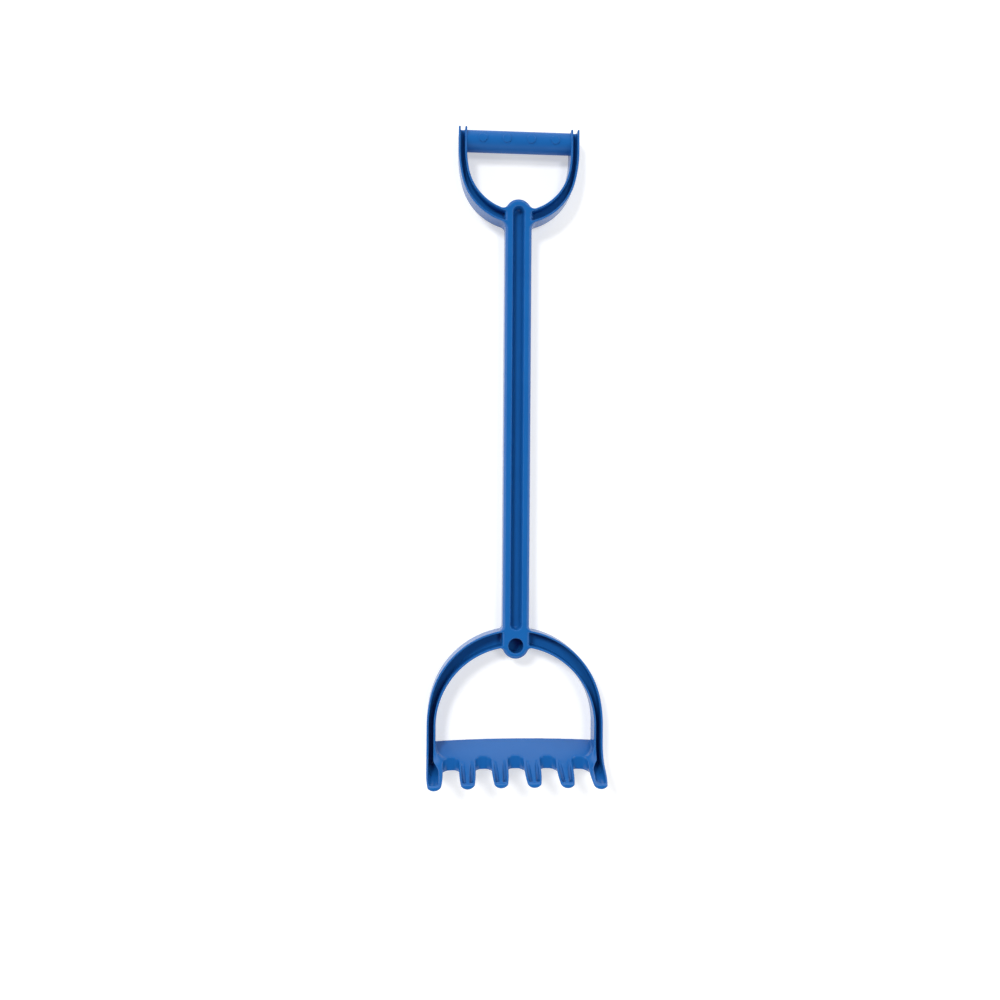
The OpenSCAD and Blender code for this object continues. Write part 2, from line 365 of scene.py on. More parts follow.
@dataclass(frozen=True)
class HandleFork:
    """Bow of the handle, with the upper dome of the shaft.

    Args:
        spring_y: Height of the lower ends of its straight sides.
        top_y: Height of its open ends.
        joint_y: Height of the joint with the shaft.
        band: The bow's section and outlines.
        shaft: The shaft that runs into it.
        shoulder_r: Radius between the dome and the opening's edge.
    """

    spring_y: float = 590.0
    top_y: float = 610.0
    joint_y: float = 513.6
    band: Band = Band(Bow(57.0, 70.4, 55.0), Bow(49.0, 58.0, 48.0), web_back=9.4, web_front=12.6)
    shaft: Bar = Bar()
    shoulder_r: float = 5.0

    def lattice(self) -> Lattice:
        """Box of the piece, reaching a little past its joint."""
        half, front = self.band.outer.half + MARGIN, self.band.depth + MARGIN
        return Lattice((-half, self.joint_y - LAP, -MARGIN), (half, self.top_y + MARGIN, front))

    def field(self, x: Array, y: Array, z: Array) -> Array:
        """Distance to the piece.

        Args:
            x: Places across.
            y: Heights above the tine tips.
            z: Heights above the back face.

        Returns:
            The distances.
        """
        edges = self.band.edges
        shaft = self.shaft.solid(x, y, z)
        body = self.band.joined(shaft, x, y - self.spring_y, z, self.shoulder_r)
        body = both(body, y - self.top_y, edges.rim / 2)
        return both(body, -self.shaft.grooves(x, y, z), edges.rim)


@dataclass(frozen=True)
class HeadArch:
    """Arch of the head with its legs, the lower dome of the shaft and the blind hole.

    Args:
        spring_y: Height at which the legs start to curve.
        joint_y: Height of the joint with the shaft.
        leg_end_y: Height of the joint with the tine bar.
        band: The arch's section and outlines.
        shaft: The shaft that runs into it.
        hole_d: Diameter of the blind hole.
        hole_floor_t: Thickness of its floor.
        shoulder_r: Radius between the dome and the opening's edge.
    """

    spring_y: float = 49.5
    joint_y: float = 145.4
    leg_end_y: float = 40.0
    band: Band = Band(Bow(82.5, 89.9, 81.7), Bow(74.1, 73.7, 72.2))
    shaft: Bar = Bar()
    hole_d: float = 14.0
    hole_floor_t: float = 3.0
    shoulder_r: float = 3.5

    def lattice(self) -> Lattice:
        """Box of the piece, reaching a little past its joints."""
        half, front = self.band.outer.half + MARGIN, self.band.depth + MARGIN
        return Lattice((-half, self.leg_end_y - LAP, -MARGIN), (half, self.joint_y + LAP, front))

    def field(self, x: Array, y: Array, z: Array) -> Array:
        """Distance to the piece.

        Args:
            x: Places across.
            y: Heights above the tine tips.
            z: Heights above the back face.

        Returns:
            The distances.
        """
        edges = self.band.edges
        shaft = self.shaft.solid(x, y, z)
        body = self.band.joined(shaft, x, self.spring_y - y, z, self.shoulder_r)
        body = both(body, -self.shaft.grooves(x, y, z), edges.rim)
        hole = np.hypot(x, y - self.shaft.foot_y) - self.hole_d / 2
        hole = both(hole, self.hole_floor_t - z, edges.floor)
        return both(body, -hole, edges.rim)


@dataclass(frozen=True)
class TineBar:
    """Bowed bar with six tines and the feet of both legs.

    Args:
        count: Number of tines.
        half: Half the width across the end tines.
        tine_w: Width of a tine.
        wall_y: Height of the wall's back edge at the middle.
        bar_t: Thickness of the bar at its back face.
        reach: Height of the tine tips above the back face.
        tip_t: Thickness of a tine at its tip.
        bow: Amount by which the middle stands up towards the handle.
        gap_r: Radius of the corners of the gaps.
        tip_r: Radius of each tine along its back, seen from the front.
        tip_bend: Heights between which a tine's back grows round.
        tip_rim: Radius around the end of a tine.
        rim_extra: By how much the rims of the tines are rounder than those of the bar.
        rim_bend: Heights between which the rims grow.
        leg_in: Distance of the legs' inner walls from the middle.
        leg_end_y: Height of the joint with the arch.
        seam_r: Radius of the corner between leg and wall at the back.
        corner_r: How much that radius grows up to the front face.
        corner_power: How late it grows.
        corner_foot_z: Height at which it starts to grow.
        flute_foot_z: Height at which the flutes start.
        flute_end_z: Height at which they end.
        flute_depth: Depth that a flute would reach at its lower end.
        flute_wall: Thickness left between a flute and the back face.
        flute_x: Distance of a flute from the tine's middle at its start and at its end.
        flute_half: Half width of a flute at its start and at its end.
        flute_power: How early a flute gets deep.
        flute_floor_r: Radius along the floor of a flute.
        flute_end_r: Radius at its lower end.
        flute_rim: Radius of its edges.
        trough_x: Inner side of the end tines' troughs, from the middle of the rake.
        trough_bend: Heights between which the leg's channel widens into the trough.
        trough_wall: Thickness of the back wall of a trough.
        trough_end_z: Height at which a trough ends.
        trough_end_r: Radius at that end.
        band: The arch's section, whose channels run into the legs.
    """

    count: int = 6
    half: float = 82.5
    tine_w: float = 15.4
    wall_y: float = 33.5
    bar_t: float = 18.0
    reach: float = 56.0
    tip_t: float = 3.8
    bow: float = 2.0
    gap_r: float = 5.6
    tip_r: float = 7.3
    tip_bend: Pair = (23.0, 34.0)
    tip_rim: float = 1.7
    rim_extra: float = 0.3
    rim_bend: Pair = (24.0, 30.0)
    leg_in: float = 74.1
    leg_end_y: float = 40.0
    seam_r: float = 0.3
    corner_r: float = 10.0
    corner_power: float = 2.6
    corner_foot_z: float = 1.5
    flute_foot_z: float = 28.5
    flute_end_z: float = 52.4
    flute_depth: float = 5.0
    flute_wall: float = 1.1
    flute_x: Pair = (4.3, 3.2)
    flute_half: Pair = (0.7, 1.6)
    flute_power: float = 0.8
    flute_floor_r: float = 0.5
    flute_end_r: float = 1.2
    flute_rim: float = 0.6
    trough_x: float = 71.3
    trough_bend: Pair = (14.0, 22.0)
    trough_wall: float = 1.5
    trough_end_z: float = 52.6
    trough_end_r: float = 3.0
    band: Band = HeadArch.band

    def lattice(self) -> Lattice:
        """Box of the piece, reaching a little past its joint."""
        half, top_y = self.half + MARGIN, self.leg_end_y + LAP
        return Lattice((-half, -MARGIN, -MARGIN), (half, top_y, self.reach + MARGIN))

    def faces(self, y: Array, z: Array) -> tuple[Array, Array]:
        """Finds the distances to the two sloping faces.

        Args:
            y: Heights above the tine tips, with the bow taken out.
            z: Heights above the back face.

        Returns:
            Distance to the front face, and to the back face of bar and tines.
        """
        front_slope = (self.wall_y - self.bow - self.tip_t) / self.reach
        back_slope = (self.wall_y - self.bar_t - self.bow) / self.reach
        front = (y - self.wall_y + front_slope * z) / math.hypot(1, front_slope)
        back = (self.wall_y - self.bar_t - back_slope * z - y) / math.hypot(1, back_slope)
        return front, back

    def leg_hollows(
        self, ax: Array, y: Array, y_bowed: Array, z: Array, hull: Array
    ) -> tuple[Array, Array]:
        """Finds the hollows of a leg; the front one widens into the trough of the end tine.

        Args:
            ax: Distances from the middle of the rake.
            y: Heights above the tine tips.
            y_bowed: The same, with the bow taken out.
            z: Heights above the back face.
            hull: Distance to the bar and tines, open towards the front.

        Returns:
            Distance to the front hollow, and to the channel in the back.
        """
        edges, band = self.band.edges, self.band
        outer_wall = ax - self.half + band.flange_t
        narrow = self.leg_in + band.flange_t
        widened = blend((self.trough_x, narrow), ease(y_bowed, *self.trough_bend))
        draft = -edges.draft * np.minimum(layer(z, band.depth), 0)
        trough = np.maximum(outer_wall, widened - ax) + draft
        trough = both(trough, z - self.trough_end_z, self.trough_end_r)
        floor = np.maximum(band.web_front - z, hull + self.trough_wall)
        trough = both(trough, floor, edges.floor)
        channel = np.maximum(outer_wall, narrow - ax) + draft
        channel = both(channel, z - band.web_back, edges.floor)
        channel = both(channel, self.wall_y + band.flange_t / 2 - y, edges.floor)
        return trough, channel

    def flutes(self, off_tine: Array, z: Array, front: Array, hull: Array) -> Array:
        """Finds the two flutes of a tine, which leave a rib that spreads into the wall.

        Args:
            off_tine: Distances from the middle of the tine.
            z: Heights above the back face.
            front: Distance to the sloping front face.
            hull: Distance to the bar and tines, open towards the front.

        Returns:
            Distance to the flutes.
        """
        along = np.clip((z - self.flute_foot_z) / (self.flute_end_z - self.flute_foot_z), 0, 1)
        middle = blend(self.flute_x, along)
        half = blend(self.flute_half, np.sqrt(np.minimum(2 * along, 1)))
        floor = -front - self.flute_depth * along**self.flute_power
        floor = np.maximum(floor, hull + self.flute_wall)
        flute = both(np.abs(off_tine - middle) - half, floor, self.flute_floor_r)
        flute = both(flute, z - self.flute_end_z, self.flute_end_r)
        return np.maximum(flute, self.flute_foot_z - z)

    def field(self, x: Array, y: Array, z: Array) -> Array:
        """Distance to the piece.

        Args:
            x: Places across.
            y: Heights above the tine tips.
            z: Heights above the back face.

        Returns:
            The distances.
        """
        edges, depth = self.band.edges, self.band.depth
        end_x = self.half - self.tine_w / 2
        pitch = 2 * end_x / (self.count - 1)
        bow_r = (end_x**2 + self.bow**2) / (2 * self.bow)
        y_bowed = y + bow_r - np.sqrt(bow_r**2 - x**2)
        ax = np.abs(x)
        front, back = self.faces(y_bowed, z)

        # Tines stand on the bar; the nearest one rules
        number = np.clip(np.round((x + end_x) / pitch), 0, self.count - 1)
        off_tine = np.abs(x + end_x - number * pitch)
        comb = either(z - depth, off_tine - self.tine_w / 2, self.gap_r)
        comb = np.maximum(comb, ax - self.half)

        # Legs, whose corner with the wall opens from the back to the front
        leg = both(self.leg_in - ax, z - depth, edges.rim)
        share = np.clip((z - self.corner_foot_z) / (depth - self.corner_foot_z), 0, 1)
        front = either(front, leg, self.seam_r + self.corner_r * share**self.corner_power)

        rim = edges.rim + self.rim_extra * ease(z, *self.rim_bend)
        round_back = rim + (self.tip_r - edges.rim) * ease(z, *self.tip_bend)
        hull = both(comb, back, round_back)
        body = both(hull, front, rim)
        body = both(body, z - self.reach, self.tip_rim)
        body = both(body, -z, edges.rim)

        for hollow in self.leg_hollows(ax, y, y_bowed, z, hull):
            body = both(body, -hollow, edges.rim)
        middle_tine = (number > 0) & (number < self.count - 1)
        flutes = np.where(middle_tine, self.flutes(off_tine, z, front, hull), FAR)
        return both(body, -flutes, self.flute_rim)


# -------- finishes


@dataclass(frozen=True)
class BluePlastic:
    """Glossy polypropylene, coloured through, with the faint unevenness of a moulding.

    Args:
        name: Name of the material.
        colour: Linear colour.
        deep: Linear colour where the pigment lies a little denser.
        gloss: Roughness of the smoothest places.
        haze: Roughness of the dullest places.
        peel: Height of the fine unevenness, in metres.
        shine: Strength of its reflections, 0.5 for bare plastic.
        ior: Index of refraction.
        tint_noise: Lumps per metre of the change in colour, and their detail.
        haze_noise: The same for the change in roughness.
        peel_noise: The same for the fine unevenness.
    """

    name: str = "blue_polypropylene"
    colour: Triple = (0.011, 0.132, 0.430)
    deep: Triple = (0.008, 0.112, 0.385)
    gloss: float = 0.2
    haze: float = 0.28
    peel: float = 0.00004
    shine: float = 0.5
    ior: float = 1.49
    tint_noise: Pair = (28, 3)
    haze_noise: Pair = (90, 4)
    peel_noise: Pair = (900, 2)

    def material(self) -> Material:
        """Builds the node material.

        Returns:
            The material, with all patterns on Object coordinates.
        """
        made = bpy.data.materials.new(self.name)
        made.use_nodes = True
        nodes, links = made.node_tree.nodes, made.node_tree.links
        shader = nodes["Principled BSDF"]
        shader.inputs["IOR"].default_value = self.ior
        shader.inputs["Specular IOR Level"].default_value = self.shine
        place = nodes.new("ShaderNodeTexCoord").outputs["Object"]

        noises = []
        for scale, detail in (self.tint_noise, self.haze_noise, self.peel_noise):
            node = nodes.new("ShaderNodeTexNoise")
            node.inputs["Scale"].default_value = scale
            node.inputs["Detail"].default_value = detail
            links.new(place, node.inputs["Vector"])
            noises.append(node.outputs["Fac"])

        tint = nodes.new("ShaderNodeMix")
        tint.data_type = "RGBA"
        tint.inputs["A"].default_value = (*self.colour, 1)
        tint.inputs["B"].default_value = (*self.deep, 1)
        links.new(noises[0], tint.inputs["Factor"])
        links.new(tint.outputs["Result"], shader.inputs["Base Color"])

        rough = nodes.new("ShaderNodeMapRange")
        rough.inputs["To Min"].default_value = self.gloss
        rough.inputs["To Max"].default_value = self.haze
        links.new(noises[1], rough.inputs["Value"])
        links.new(rough.outputs["Result"], shader.inputs["Roughness"])

        bump = nodes.new("ShaderNodeBump")
        bump.inputs["Distance"].default_value = self.peel
        links.new(noises[2], bump.inputs["Height"])
        links.new(bump.outputs["Normal"], shader.inputs["Normal"])
        return made


# -------- meshes and pieces


def add_object(name: str, data: ID) -> Object:
    """Puts a mesh, lamp or camera into the scene.

    Args:
        name: Name of the new object.
        data: What it holds.

    Returns:
        The object.
    """
    made = bpy.data.objects.new(name, data)
    bpy.context.scene.collection.objects.link(made)
    return made


def add_piece(mesh: Mesh, name: str, node: str | None) -> Object:
    """Puts a finished mesh into the scene as a piece of the rake.

    Args:
        mesh: Mesh in metres, with its material.
        name: Name of the piece.
        node: CAD node that it stands for, if any.

    Returns:
        The piece.
    """
    piece = add_object(name, mesh)
    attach(piece, BODY)
    if node:
        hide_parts(node)
    log.info("%s: %d faces", name, len(mesh.polygons))
    return piece


def final_mesh(thing: Object) -> Mesh:
    """Takes the mesh that an object has after its modifiers.

    Args:
        thing: The object; it is removed.

    Returns:
        The mesh.
    """
    graph = bpy.context.evaluated_depsgraph_get()
    made = bpy.data.meshes.new_from_object(thing.evaluated_get(graph))
    bpy.data.objects.remove(thing)
    return made


def smooth_sides(mesh: Mesh) -> Mesh:
    """Shades the four-sided faces of a swept mesh smooth and its end caps flat.

    Args:
        mesh: The swept mesh.

    Returns:
        The same mesh, changed.
    """
    for face in mesh.polygons:
        face.use_smooth = len(face.vertices) == 4
    return mesh


@dataclass(frozen=True)
class Moulding:
    """Turns the field of a sub-assembly into a closed, smooth piece.

    Args:
        name: Name of the piece.
        node: CAD node that it stands for.
        shape: Sub-assembly with its lattice and field.
        joints: Heights of its joints and the side of each that it keeps.
        triangles: About how many triangles it keeps.
    """

    name: str
    node: str
    shape: HandleFork | HeadArch | TineBar
    joints: tuple[tuple[float, Keep], ...]
    triangles: int = 150_000

    def parted(self, mesh: Mesh) -> Mesh:
        """Cuts the mesh at its joints, closes the cuts and shades the rest smooth.

        Args:
            mesh: Mesh in metres that reaches past its joints.

        Returns:
            The same mesh, changed.
        """
        bm = bmesh.new()
        bm.from_mesh(mesh)
        for height, keep in self.joints:
            plane = {"plane_co": (0, (height - HALF_LEN) * MM, 0), "plane_no": (0, -keep.value, 0)}
            parts = [*bm.verts, *bm.edges, *bm.faces]
            bmesh.ops.bisect_plane(bm, geom=parts, dist=WELD, clear_outer=True, **plane)
        for face in bm.faces:
            face.smooth = True
        rims = [edge for edge in bm.edges if edge.is_boundary]
        caps = bmesh.ops.holes_fill(bm, edges=rims, sides=0)["faces"]
        for edge in {edge for cap in caps for edge in cap.edges}:
            edge.smooth = False
        for cap in caps:
            cap.smooth = False
        bmesh.ops.triangulate(bm, faces=bm.faces)
        log.info("%s closed: %s", self.name, all(edge.is_manifold for edge in bm.edges))
        bm.to_mesh(mesh)
        bm.free()
        return mesh

    def build(self, material: Material) -> Object:
        """Builds the piece.

        Args:
            material: Its finish.

        Returns:
            The piece.
        """
        lattice = self.shape.lattice()
        values = self.shape.field(*lattice.axes())
        points, faces = lattice.skin(values)
        shift = np.array([0, -HALF_LEN, 0])
        mesh = bpy.data.meshes.new(self.name)
        mesh.from_pydata((points + shift) * MM, [], faces)
        thing = add_object(self.name, mesh)
        thing.modifiers.new("thinning", "DECIMATE").ratio = min(1.0, self.triangles / len(faces))
        mesh = self.parted(final_mesh(thing))

        # Nothing stands out of the CAD piece's box
        low, high = np.array(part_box(self.node))
        places = np.empty(len(mesh.vertices) * 3, np.float32)
        mesh.vertices.foreach_get("co", places)
        places = places.reshape(-1, 3)
        inside = np.clip(places, low, high).astype(np.float32)
        mesh.vertices.foreach_set("co", inside.ravel())

        # Smooth faces take their normals from the field, the cuts their own
        slopes = lattice.slope(values, places / MM - shift)
        wheres = np.empty(len(mesh.loops), np.int32)
        mesh.loops.foreach_get("vertex_index", wheres)
        normals = slopes[wheres]
        for face in mesh.polygons:
            if not face.use_smooth:
                normals[list(face.loop_indices)] = face.normal
        mesh.normals_split_custom_set(normals.tolist())
        mesh.name = self.name
        mesh.materials.append(material)
        return add_piece(mesh, self.name, self.node)


class ShapeTree:
    """Geometry Nodes tree with named inputs, built node by node and turned into a plain mesh."""

    def __init__(self, name: str) -> None:
        """Starts an empty tree.

        Args:
            name: Name of the tree.
        """
        self.tree = bpy.data.node_groups.new(name, "GeometryNodeTree")
        for way in ("INPUT", "OUTPUT"):
            self.tree.interface.new_socket("Geometry", in_out=way, socket_type="NodeSocketGeometry")
        self.start = self.tree.nodes.new("NodeGroupInput")
        self.values: dict[str, float | int] = {}

    def size(self, name: str, value: float | int) -> NodeSocket:
        """Adds a named input.

        Args:
            name: Name of the input.
            value: Its value; a whole number makes a whole-number input.

        Returns:
            The socket that gives the value inside the tree.
        """
        kind = "NodeSocketInt" if isinstance(value, int) else "NodeSocketFloat"
        socket = self.tree.interface.new_socket(name, in_out="INPUT", socket_type=kind)
        self.values[socket.identifier] = value
        return self.start.outputs[name]

    def add(self, kind: str, properties: dict[str, object] | None = None, **inputs: object) -> Node:
        """Adds a node and fills its inputs.

        Args:
            kind: Type of the node.
            properties: Properties of the node.
            inputs: Sockets or values by input name, with _ for a space.

        Returns:
            The node.
        """
        node = self.tree.nodes.new(kind)
        for name, value in (properties or {}).items():
            setattr(node, name, value)
        for name, value in inputs.items():
            self.fill(node.inputs[name.replace("_", " ")], value)
        return node

    def fill(self, socket: NodeSocket, value: object) -> None:
        """Links an input, or sets its value.

        Args:
            socket: The input.
            value: Socket that feeds it, or its value.
        """
        if isinstance(value, NodeSocket):
            self.tree.links.new(value, socket)
        else:
            socket.default_value = value

    def math(self, operation: str, a: object, b: object = 0.0) -> NodeSocket:
        """Adds a Math node.

        Args:
            operation: What it does.
            a: First value or socket.
            b: Second value or socket.

        Returns:
            The result.
        """
        node = self.add("ShaderNodeMath", {"operation": operation})
        self.fill(node.inputs[0], a)
        self.fill(node.inputs[1], b)
        return node.outputs[0]

    def point(self, x: object, y: object, z: object) -> NodeSocket:
        """Adds a Combine XYZ node and returns its vector."""
        return self.add("ShaderNodeCombineXYZ", X=x, Y=y, Z=z).outputs[0]

    def sweep(self, profile: Node, start: object, end: object, steps: object) -> NodeSocket:
        """Sweeps a cross-section along a straight line and closes its ends.

        Args:
            profile: Node that gives the cross-section as a curve.
            start: First point of the line.
            end: Last point of the line.
            steps: Number of points along it.

        Returns:
            The swept mesh.
        """
        line = self.add("GeometryNodeCurvePrimitiveLine", Start=start, End=end)
        path = self.add("GeometryNodeResampleCurve", Curve=line.outputs[0], Count=steps)
        rails = {"Curve": path.outputs[0], "Profile_Curve": profile.outputs[0]}
        return self.add("GeometryNodeCurveToMesh", **rails, Fill_Caps=True).outputs[0]

    def mesh(
        self, geometry: NodeSocket, name: str, material: Material, source: Mesh | None = None
    ) -> Mesh:
        """Ends the tree, runs it and returns its result.

        Args:
            geometry: What the tree has made.
            name: Name of the mesh.
            material: Its finish.
            source: Mesh that goes into the tree, if any.

        Returns:
            A plain mesh in metres.
        """
        whole = self.add("GeometryNodeRealizeInstances", Geometry=geometry).outputs[0]
        painted = self.add("GeometryNodeSetMaterial", Geometry=whole, Material=material)
        self.fill(self.add("NodeGroupOutput").inputs[0], painted.outputs[0])
        thing = add_object(name, source or bpy.data.meshes.new(name))
        modifier = thing.modifiers.new("shape", "NODES")
        modifier.node_group = self.tree
        for identifier, value in self.values.items():
            modifier[identifier] = value
        made = final_mesh(thing)
        made.name = name
        return made


@dataclass(frozen=True)
class Shaft:
    """Straight shaft between the bows: its cross-section swept along Y.

    Args:
        foot_y: Height of the joint with the head.
        top_y: Height of the joint with the handle.
        bar: The shaft's sizes.
        steps: Number of points along the sweep.
    """

    foot_y: float = 145.4
    top_y: float = 513.6
    bar: Bar = Bar()
    steps: int = 48

    def build(self, material: Material) -> Object:
        """Builds the piece.

        Args:
            material: Its finish.

        Returns:
            The piece.
        """
        line = self.bar.outline()
        section = bpy.data.meshes.new("shaft_section")
        edges = [(number, (number + 1) % len(line)) for number in range(len(line))]
        section.from_pydata([(x * MM, -z * MM, 0) for x, z in line], edges, [])
        tree = ShapeTree("shaft_sweep")
        foot = tree.size("Foot", (self.foot_y - HALF_LEN) * MM)
        top = tree.size("Top", (self.top_y - HALF_LEN) * MM)
        steps = tree.size("Steps", self.steps)
        profile = tree.add("GeometryNodeMeshToCurve", Mesh=tree.start.outputs["Geometry"])
        start, end = tree.point(0.0, foot, 0.0), tree.point(0.0, top, 0.0)
        swept = tree.sweep(profile, start, end, steps)
        mesh = smooth_sides(tree.mesh(swept, "shaft_moulding", material, section))
        return add_piece(mesh, "shaft_moulding", "shaft")


@dataclass(frozen=True)
class Grip:
    """Round bar between the sides of the fork, with a row of raised thumb discs.

    Args:
        half: Half its length.
        axis_y: Height of its axis above the tine tips.
        axis_z: Height of its axis above the back face.
        radius: Its radius.
        disc_count: Number of discs.
        disc_pitch: Distance between discs.
        disc_r: Radius of a disc.
        disc_rise: Height of a disc above the bar.
        disc_rim: Share of a disc's radius over which its edge is rounded.
        disc_edge: Share of its rise that is left at the edge.
        steps: Number of points along the bar.
        sides: Number of points around the bar.
        disc_steps: Number of points around a disc and out from its middle.
    """

    half: float = 49.0
    axis_y: float = 600.0
    axis_z: float = 11.0
    radius: float = 10.0
    disc_count: int = 4
    disc_pitch: float = 22.8
    disc_r: float = 4.2
    disc_rise: float = 0.9
    disc_rim: float = 0.1
    disc_edge: float = 0.35
    steps: int = 24
    sides: int = 96
    disc_steps: tuple[int, int] = (64, 10)

    def axis(self, tree: ShapeTree) -> list[NodeSocket]:
        """Adds the inputs for the height of the axis along Y and along Z."""
        places = {"Axis Y": self.axis_y - HALF_LEN, "Axis Z": self.axis_z}
        return [tree.size(name, place * MM) for name, place in places.items()]

    def bar(self, material: Material) -> Object:
        """Sweeps the round bar along X.

        Args:
            material: Its finish.

        Returns:
            The piece.
        """
        tree = ShapeTree("grip_sweep")
        half = tree.size("Half length", self.half * MM)
        radius = tree.size("Radius", self.radius * MM)
        steps = tree.size("Steps", self.steps)
        sides = tree.size("Sides", self.sides)
        y, z = self.axis(tree)
        circle = tree.add("GeometryNodeCurvePrimitiveCircle", Resolution=sides, Radius=radius)
        start, end = tree.point(tree.math("MULTIPLY", half, -1.0), y, z), tree.point(half, y, z)
        mesh = smooth_sides(tree.mesh(tree.sweep(circle, start, end, steps), "grip", material))
        return add_piece(mesh, "grip", "grip_bar")

    def discs(self, material: Material) -> Object:
        """Sets the thumb discs along the front of the bar, bent to its curve.

        Args:
            material: Their finish.

        Returns:
            The piece.
        """
        tree = ShapeTree("thumb_discs")
        count = tree.size("Count", self.disc_count)
        pitch = tree.size("Pitch", self.disc_pitch * MM)
        disc_r = tree.size("Disc radius", self.disc_r * MM)
        rise = tree.size("Rise", self.disc_rise * MM)
        bar_r = tree.size("Bar radius", self.radius * MM)
        y, z = self.axis(tree)
        around, out = self.disc_steps
        steps = {"Vertices": around, "Side_Segments": 1, "Fill_Segments": out}
        pad = tree.add("GeometryNodeMeshCylinder", **steps, Radius=disc_r, Depth=2.0)
        spot = tree.add("GeometryNodeInputPosition").outputs[0]
        px, py, pz = tree.add("ShaderNodeSeparateXYZ", Vector=spot).outputs
        names = ("ADD", "SUBTRACT", "MULTIPLY", "DIVIDE", "MAXIMUM", "SQRT")
        plus, minus, times, over, larger, root = (partial(tree.math, name) for name in names)

        # Share of the rise: full on top, rounded off along the edge, and sunk into the bar below
        off_middle = root(plus(times(px, px), times(py, py)))
        past_flat = minus(off_middle, times(disc_r, 1 - self.disc_rim))
        edge = larger(over(past_flat, times(disc_r, self.disc_rim)), 0.0)
        crown = root(larger(minus(1.0, times(edge, edge)), 0.0))
        crown = plus(self.disc_edge, times(crown, 1 - self.disc_edge))
        top = tree.math("GREATER_THAN", pz, PAD_TOP)
        height = plus(bar_r, times(rise, minus(times(crown, top), minus(1.0, top))))

        bent = root(minus(times(height, height), times(py, py)))
        place = tree.point(px, plus(py, y), plus(bent, z))
        pad = tree.add("GeometryNodeSetPosition", Geometry=pad.outputs[0], Position=place)
        first = tree.point(times(times(minus(count, 1.0), pitch), -0.5), 0.0, 0.0)
        line = {"Count": count, "Start_Location": first, "Offset": tree.point(pitch, 0.0, 0.0)}
        row = tree.add("GeometryNodeMeshLine", {"mode": "OFFSET"}, **line)
        parts = {"Points": row.outputs[0], "Instance": pad.outputs[0]}
        spots = tree.add("GeometryNodeInstanceOnPoints", **parts).outputs[0]
        mesh = tree.mesh(spots, "thumb_discs", material)
        for face in mesh.polygons:
            face.use_smooth = True
        return add_piece(mesh, "thumb_discs", None)


# -------- studio and camera


@dataclass(frozen=True)
class Lamp:
    """Soft lamp, far enough away to light the whole table evenly and left out of reflections.

    Args:
        name: Name of the lamp.
        origin: Direction of the lamp, from the rake.
        strength: Its strength.
        spread: Angle over which its light arrives, in radians.
    """

    name: str
    origin: Triple
    strength: float
    spread: float

    def build(self) -> None:
        """Adds the lamp."""
        data = bpy.data.lights.new(self.name, "SUN")
        data.energy, data.angle = self.strength, self.spread
        lamp = add_object(self.name, data)
        lamp.rotation_euler = Vector(self.origin).to_track_quat("Z", "Y").to_euler()
        lamp.visible_glossy = False


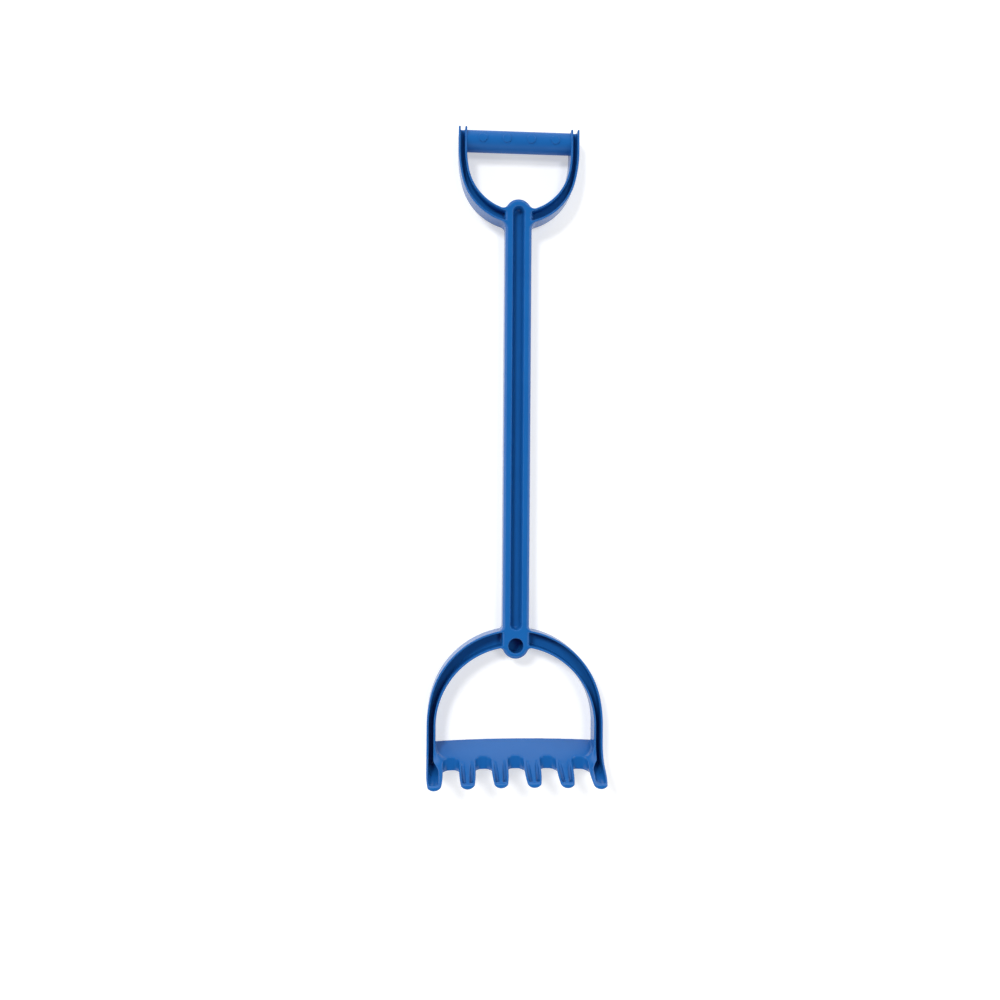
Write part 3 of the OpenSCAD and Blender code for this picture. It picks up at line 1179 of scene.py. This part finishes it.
@dataclass(frozen=True)
class Studio:
    """White table in a ring of soft light that leaves the ceiling dim, with two soft lamps.

    Args:
        table_side: Side of the square table top, in metres.
        gap: Distance of the table top below the rake, in metres.
        table_white: How much light the table throws back.
        glow: White that the camera and reflections see on the table besides its lit colour.
        key: Lamp that throws the soft shadows of the tines.
        fill: Lamp from the other side, which lights the floor of the groove.
        ring: Strength of the ring of light.
        ring_foot: Sines of the heights between which the ring begins.
        ring_top: Sines of the heights between which it ends.
        ceiling: Strength of the light from the ceiling.
    """

    table_side: float = 6.0
    gap: float = 0.0002
    table_white: float = 0.75
    glow: float = 0.44
    key: Lamp = Lamp("key", (-0.5, 0.55, 1.0), 1.5, 0.25)
    fill: Lamp = Lamp("fill", (0.35, 0.2, 1.0), 0.65, 0.25)
    ring: float = 1.5
    ring_foot: Pair = (0.0, 0.2)
    ring_top: Pair = (0.5, 0.7)
    ceiling: float = 0.05

    def table(self) -> None:
        """Adds the table top."""
        mesh = bpy.data.meshes.new("table")
        half = self.table_side / 2
        corners = [(-half, -half), (half, -half), (half, half), (-half, half)]
        mesh.from_pydata([(x, y, -self.gap) for x, y in corners], [], [(0, 1, 2, 3)])
        table = add_object("table", mesh)
        paint = bpy.data.materials.new("table_white")
        paint.use_nodes = True
        nodes, links = paint.node_tree.nodes, paint.node_tree.links
        nodes.clear()

        matt = nodes.new("ShaderNodeBsdfDiffuse")
        matt.inputs["Color"].default_value = (self.table_white,) * 3 + (1,)
        glow = nodes.new("ShaderNodeEmission")
        glow.inputs["Strength"].default_value = self.glow
        glowing = nodes.new("ShaderNodeAddShader")
        links.new(matt.outputs[0], glowing.inputs[0])
        links.new(glow.outputs[0], glowing.inputs[1])

        # The glow is there for the camera and reflections, and throws no light
        path, looked_at = nodes.new("ShaderNodeLightPath"), nodes.new("ShaderNodeMath")
        looked_at.operation = "MAXIMUM"
        links.new(path.outputs["Is Camera Ray"], looked_at.inputs[0])
        links.new(path.outputs["Is Glossy Ray"], looked_at.inputs[1])
        top = nodes.new("ShaderNodeMixShader")
        links.new(looked_at.outputs[0], top.inputs[0])
        links.new(matt.outputs[0], top.inputs[1])
        links.new(glowing.outputs[0], top.inputs[2])
        links.new(top.outputs[0], nodes.new("ShaderNodeOutputMaterial").inputs["Surface"])
        mesh.materials.append(paint)

    def room(self) -> None:
        """Adds the ring of light and the ceiling, which the camera sees as white."""
        world = bpy.data.worlds.new("pale_room")
        world.use_nodes = True
        nodes, links = world.node_tree.nodes, world.node_tree.links
        split = nodes.new("ShaderNodeSeparateXYZ")
        links.new(nodes.new("ShaderNodeTexCoord").outputs["Generated"], split.inputs[0])
        height = split.outputs["Z"]
        camera = nodes.new("ShaderNodeLightPath").outputs["Is Camera Ray"]

        # Each step leads smoothly from the one before it, or from dark, to a strength of its own
        steps = ((height, self.ring_foot, self.ring), (height, self.ring_top, self.ceiling))
        before = None
        for source, rise, strength in (*steps, (camera, (0, 1), 1)):
            node = nodes.new("ShaderNodeMapRange")
            node.interpolation_type = "SMOOTHSTEP"
            for name, value in zip(("From Min", "From Max", "To Max"), (*rise, strength)):
                node.inputs[name].default_value = value
            links.new(source, node.inputs["Value"])
            if before:
                links.new(before.outputs[0], node.inputs["To Min"])
            before = node
        nodes["Background"].inputs["Color"].default_value = (1, 1, 1, 1)
        links.new(before.outputs[0], nodes["Background"].inputs["Strength"])
        bpy.context.scene.world = world

    def build(self) -> None:
        """Builds the table, the lamps and the room."""
        self.table()
        self.key.build()
        self.fill.build()
        self.room()
        bpy.context.scene.view_settings.view_transform = "Standard"


@dataclass(frozen=True)
class PhotoCamera:
    """Camera that stands where the photograph was taken.

    Args:
        place: Its place in metres.
        turn: Turn of the view about X, Y and Z, in radians.
        lens: Focal length in millimetres.
        sensor: Width of the sensor in millimetres.
        lift: Shift of the view upwards, in widths of the picture.
    """

    place: Triple = (-0.071207, -0.054074, 0.85868)
    turn: Triple = (-0.012, 0.066, -0.008)
    lens: float = 32.363
    sensor: float = 36.0
    lift: float = -0.0008

    def build(self) -> None:
        """Adds the camera and makes it the scene's own."""
        data = bpy.data.cameras.new("photo_camera")
        data.lens, data.sensor_width = self.lens, self.sensor
        data.shift_y = self.lift
        camera = add_object("photo_camera", data)
        camera.location = self.place
        camera.rotation_euler = Euler(self.turn).to_matrix().transposed().to_euler()
        bpy.context.scene.camera = camera


def main() -> None:
    """Builds the rake, the studio and the camera."""
    logging.basicConfig(level=logging.INFO, format="%(name)s: %(message)s")
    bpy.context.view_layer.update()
    plastic = BluePlastic().material()
    satin = BluePlastic("satin_blue_polypropylene", gloss=0.42, haze=0.5, shine=0.25).material()
    fork, arch, tines = HandleFork(), HeadArch(), TineBar()
    fork_joints = ((fork.joint_y, Keep.ABOVE),)
    arch_joints = ((arch.leg_end_y, Keep.ABOVE), (arch.joint_y, Keep.BELOW))
    tine_joints = ((tines.leg_end_y, Keep.BELOW),)
    Moulding("handle_fork_moulding", "handle_fork", fork, fork_joints).build(plastic)
    Shaft().build(plastic)
    Moulding("head_arch_moulding", "head_arch", arch, arch_joints).build(plastic)
    Moulding("rake_bar_moulding", "rake_bar", tines, tine_joints).build(plastic)
    grip = Grip()
    grip.bar(satin)
    grip.discs(satin)
    Studio().build()
    PhotoCamera().build()


if __name__ == "__main__":
    main()
